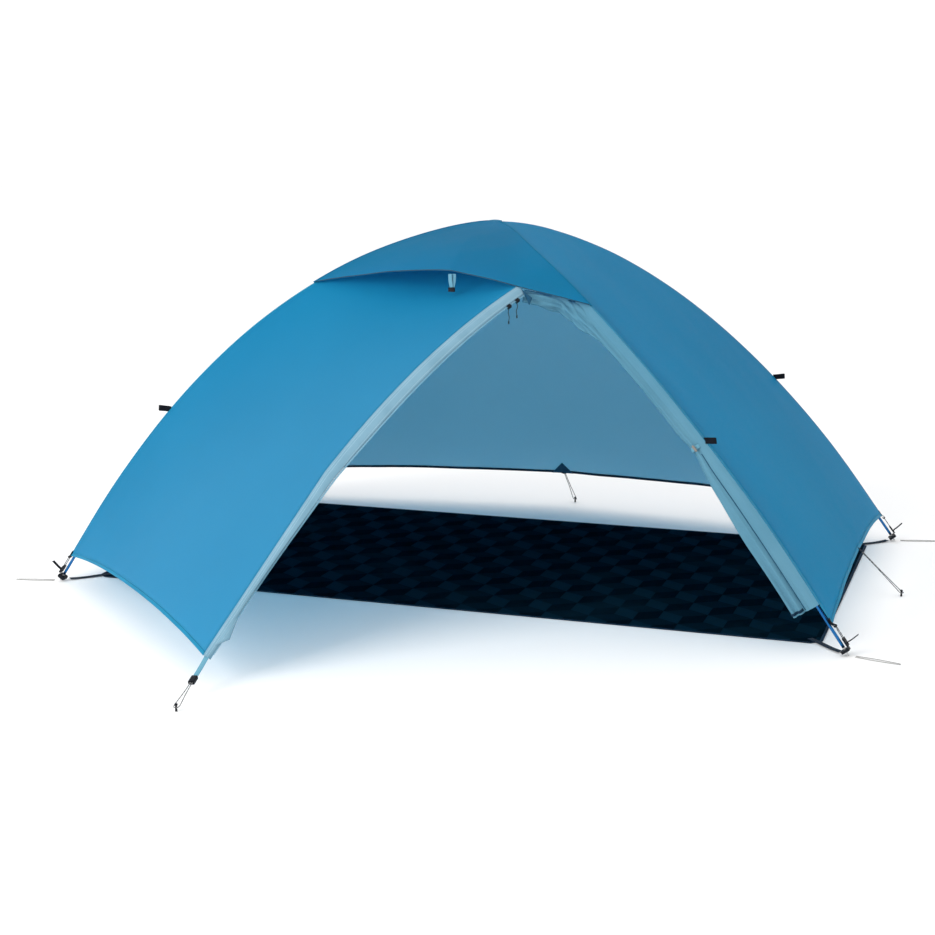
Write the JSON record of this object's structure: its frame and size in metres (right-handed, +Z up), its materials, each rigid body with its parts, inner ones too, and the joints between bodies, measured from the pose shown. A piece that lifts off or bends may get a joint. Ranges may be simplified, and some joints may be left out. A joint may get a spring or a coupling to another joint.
{
  "type": "frame tent",
  "caption": "Low two-person dome tent on crossed bent poles, flysheet pitched over a ground sheet, door rolled aside, roof vent propped open.",
  "frame": {"origin": "middle of the base of the tent's box, measured without its guy lines, pegs and peg loops, on the ground", "axes": "+X along the tent's length, to the right of somebody who looks in at the door, +Y from the door to the back wall, +Z up"},
  "size_m": [2.6899, 2.5356, 1.099],
  "materials": {
    "fly_fabric": "thin ripstop polyester, faint sheen",
    "light_fabric": "thin woven polyester, lighter inner side",
    "pole_tube": "blue anodised, satin",
    "pole_tip": "turned, satin",
    "black_plastic": "moulded, fine grain",
    "grey_plastic": "moulded, satin",
    "navy_webbing": "woven polyester webbing",
    "guy_cord": "braided cord with reflective tracer",
    "elastic_cord": "braided elastic cord",
    "ground_sheet": "coated polyester with a tone-on-tone box print"
  },
  "bodies": {
    "tent": {"pole_left": "pole_tube", "shock_cord_left": "elastic_cord", "pole_right": "pole_tube", "shock_cord_right": "elastic_cord", "fly_back_panel": "fly_fabric", "fly_right_end_panel": "fly_fabric", "fly_left_end_panel": "fly_fabric", "fly_vestibule_panel": "fly_fabric", "zip_flap": "light_fabric", "fly_brow": "fly_fabric", "fly_crown_patch": "light_fabric", "zip_coil": "black_plastic", "door_roll": "light_fabric", "door_tie": "navy_webbing", "ground_sheet": "ground_sheet", "pole_tip_front_left": "pole_tip", "corner_foot_front_left": "black_plastic", "corner_cord_front_left": "guy_cord", "corner_strap_front_left": "navy_webbing", "guyout_loop_front_left": "navy_webbing", "pole_tip_front_right": "pole_tip", "corner_foot_front_right": "black_plastic", "corner_cord_front_right": "guy_cord", "corner_strap_front_right": "navy_webbing", "guyout_loop_front_right": "navy_webbing", "pole_tip_back_right": "pole_tip", "corner_foot_back_right": "black_plastic", "corner_cord_back_right": "guy_cord", "corner_strap_back_right": "navy_webbing", "guyout_loop_back_right": "navy_webbing", "pole_tip_back_left": "pole_tip", "corner_foot_back_left": "black_plastic", "corner_cord_back_left": "guy_cord", "corner_strap_back_left": "navy_webbing", "guyout_loop_back_left": "navy_webbing", "peg_vestibule": "black_plastic", "guy_vestibule": "guy_cord", "peg_right": "black_plastic", "guy_right": "guy_cord", "peg_back": "black_plastic", "guy_back": "guy_cord", "peg_left": "black_plastic", "guy_left": "guy_cord", "vestibule_strap": "light_fabric"},
    "upper_slider": {"zip_slider_upper": "black_plastic"},
    "lower_slider": {"zip_slider_lower": "black_plastic"},
    "upper_pull": {"zip_pull_upper": "black_plastic"},
    "lower_pull": {"zip_pull_lower": "black_plastic"},
    "vent_strut": {"vent_strut": "light_fabric", "vent_strut_end": "black_plastic"},
    "line_lock": {"line_lock": "black_plastic"},
    "door_toggle": {"door_toggle": "grey_plastic"},
    "buckle_front_left": {"corner_buckle_front_left": "black_plastic"},
    "buckle_front_right": {"corner_buckle_front_right": "black_plastic"},
    "buckle_back_right": {"corner_buckle_back_right": "black_plastic"},
    "buckle_back_left": {"corner_buckle_back_left": "black_plastic"},
    "loop_front_left": {"peg_loop_front_left": "elastic_cord"},
    "loop_front_right": {"peg_loop_front_right": "elastic_cord"},
    "loop_back_right": {"peg_loop_back_right": "elastic_cord"},
    "loop_back_left": {"peg_loop_back_left": "elastic_cord"}
  },
  "joints": [
    {"name": "upper_slider_slide", "type": "slide", "parent": "tent", "child": "upper_slider", "axis": [-0.4555, -0.7733, -0.441], "range_m": [0, 0.016]},
    {"name": "lower_slider_slide", "type": "slide", "parent": "tent", "child": "lower_slider", "axis": [-0.4552, -0.7634, -0.4583], "range_m": [0, 0.12]},
    {"name": "upper_pull_swing", "type": "hinge", "parent": "upper_slider", "child": "upper_pull", "pos_m": [0.25469, -0.24142, 0.90146], "axis": [0.9589, -0.2838, 0], "range_deg": [-45, 45]},
    {"name": "lower_pull_swing", "type": "hinge", "parent": "lower_slider", "child": "lower_pull", "pos_m": [0.23921, -0.26795, 0.88735], "axis": [0.9625, -0.2712, 0], "range_deg": [-45, 45]},
    {"name": "vent_strut_fold", "type": "hinge", "parent": "tent", "child": "vent_strut", "pos_m": [0.04996, -0.20798, 0.975], "axis": [1, 0, 0], "range_deg": [0, 70]},
    {"name": "line_lock_slide", "type": "slide", "parent": "tent", "child": "line_lock", "axis": [0.1265, -0.9628, -0.2389], "range_m": [-0.004, 0.03]},
    {"name": "door_toggle_turn", "type": "hinge", "parent": "tent", "child": "door_toggle", "pos_m": [0.78112, -0.32998, 0.53683], "axis": [-0.0691, -0.9945, 0.0782], "range_deg": [0, 90]},
    {"name": "buckle_tilt_front_left", "type": "hinge", "parent": "tent", "child": "buckle_front_left", "pos_m": [-1.20635, -0.32852, 0.02794], "axis": [0.0159, -0.9999, 0], "range_deg": [0, 35]},
    {"name": "buckle_tilt_front_right", "type": "hinge", "parent": "tent", "child": "buckle_front_right", "pos_m": [1.20617, -0.32852, 0.02792], "axis": [0.0159, 0.9999, 0], "range_deg": [0, 35]},
    {"name": "buckle_tilt_back_right", "type": "hinge", "parent": "tent", "child": "buckle_back_right", "pos_m": [1.20592, 1.00025, 0.02786], "axis": [-0.2773, 0.9608, 0], "range_deg": [0, 35]},
    {"name": "buckle_tilt_back_left", "type": "hinge", "parent": "tent", "child": "buckle_back_left", "pos_m": [-1.20589, 1.00022, 0.02785], "axis": [-0.2773, -0.9608, 0], "range_deg": [0, 35]},
    {"name": "loop_swing_front_left", "type": "hinge", "parent": "tent", "child": "loop_front_left", "pos_m": [-1.21004, -0.32858, 0], "axis": [0, 0, 1], "range_deg": [-30, 30]},
    {"name": "loop_swing_front_right", "type": "hinge", "parent": "tent", "child": "loop_front_right", "pos_m": [1.20996, -0.32858, 0], "axis": [0, 0, 1], "range_deg": [-30, 30]},
    {"name": "loop_swing_back_right", "type": "hinge", "parent": "tent", "child": "loop_back_right", "pos_m": [1.20996, 1.00142, 0], "axis": [0, 0, 1], "range_deg": [-30, 30]},
    {"name": "loop_swing_back_left", "type": "hinge", "parent": "tent", "child": "loop_back_left", "pos_m": [-1.21004, 1.00142, 0], "axis": [0, 0, 1], "range_deg": [-30, 30]}
  ]
}
